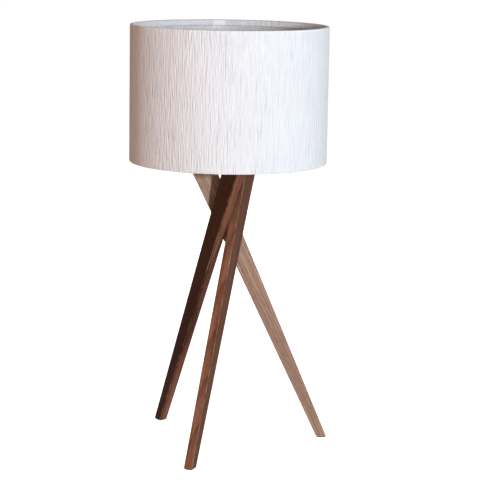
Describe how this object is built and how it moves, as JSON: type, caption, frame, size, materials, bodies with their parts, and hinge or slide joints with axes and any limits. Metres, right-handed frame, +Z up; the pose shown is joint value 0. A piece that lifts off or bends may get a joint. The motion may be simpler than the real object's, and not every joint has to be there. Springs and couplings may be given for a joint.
{
  "type": "tripod table lamp",
  "caption": "Table lamp: a drum fabric shade on a switched screw lampholder, carried by three tapered wooden blades that cross round a small hub.",
  "frame": {"origin": "middle of the lamp's bounding box on the plane that the feet rest on; the lamp's upright axis stands 6.7 mm to -X and 1.7 mm to +Y of it, because the three feet reach different distances past the round shade", "axes": "+Z up along the lamp's axis, which is its longest extent; +X towards the foot of the right-hand leg; -Y towards the front leg's side"},
  "size_m": [0.313, 0.3024, 0.647],
  "materials": {
    "walnut": "oiled dark brown walnut, open grain",
    "hub_wood": "dark stained wood",
    "dowel_wood": "raw beech",
    "felt": "dark brown felt",
    "zinc_steel": "zinc plated",
    "sleeve_bronze": "dark bronze lacquer",
    "holder_black": "moulded black thermoset",
    "bar_white": "off-white",
    "ceramic": "cream insulating ceramic",
    "brass": "plain brass",
    "cap_metal": "nickel plated",
    "black_glass": "black glass insulator",
    "bulb_collar": "white",
    "opal": "opal white",
    "light_board": "white circuit board",
    "shade_fabric": "off-white slubbed fabric, matt",
    "shade_liner": "white translucent lampshade film",
    "white_wire": "white powder coat"
  },
  "bodies": {
    "base": {"cap_lock_screw": "zinc_steel", "centre_contact": "brass", "cord_bush": "holder_black", "foot_pad_front": "felt", "foot_pad_rear_left": "felt", "foot_pad_right": "felt", "holder_cap": "holder_black", "holder_casing": "holder_black", "holder_insert": "ceramic", "holder_skirt": "holder_black", "hub_block": "hub_wood", "hub_dowels": "dowel_wood", "leg_front": "walnut", "leg_rear_left": "walnut", "leg_right": "walnut", "lower_nut": "zinc_steel", "lower_shade_ring": "holder_black", "lower_washer": "zinc_steel", "screw_shell": "brass", "stem_sleeve": "sleeve_bronze", "stem_tube": "zinc_steel", "terminal_screws": "brass", "upper_nut": "zinc_steel", "upper_shade_ring": "holder_black", "upper_washer": "zinc_steel"},
    "shade": {"bottom_edge_roll": "shade_fabric", "bottom_wire_ring": "white_wire", "fitter_ring": "white_wire", "liner_seam": "shade_liner", "shade_fabric": "shade_fabric", "shade_liner": "shade_liner", "spider_arm_1": "white_wire", "spider_arm_2": "white_wire", "spider_arm_3": "white_wire", "top_edge_roll": "shade_fabric", "top_wire_ring": "white_wire"},
    "bulb_foot": {"bulb_contact": "cap_metal", "bulb_insulator": "black_glass"},
    "bulb": {"bulb_cap": "cap_metal", "bulb_collar": "bulb_collar", "bulb_globe": "opal", "bulb_board": "light_board"},
    "switch_bar": {"switch_bar": "bar_white"}
  },
  "joints": [
    {"name": "shade_swivel", "type": "hinge", "parent": "base", "child": "shade", "pos_m": [-0.0067, 0.00165, 0.4843], "axis": [0, 0, 1], "continuous": true},
    {"name": "bulb_lift", "type": "slide", "parent": "base", "child": "bulb_foot", "axis": [0, 0, 1], "range_m": [0, 0.01815]},
    {"name": "bulb_turn", "type": "hinge", "parent": "bulb_foot", "child": "bulb", "pos_m": [-0.0067, 0.00165, 0.49], "axis": [0, 0, 1], "range_deg": [0, 1800]},
    {"name": "switch_push", "type": "slide", "parent": "base", "child": "switch_bar", "axis": [0.3987, 0.9171, 0], "range_m": [0, 0.007]}
  ],
  "couplings": [
    {"joint": "bulb_turn", "follows": "bulb_lift", "rad_per_m": 1730.9}
  ]
}
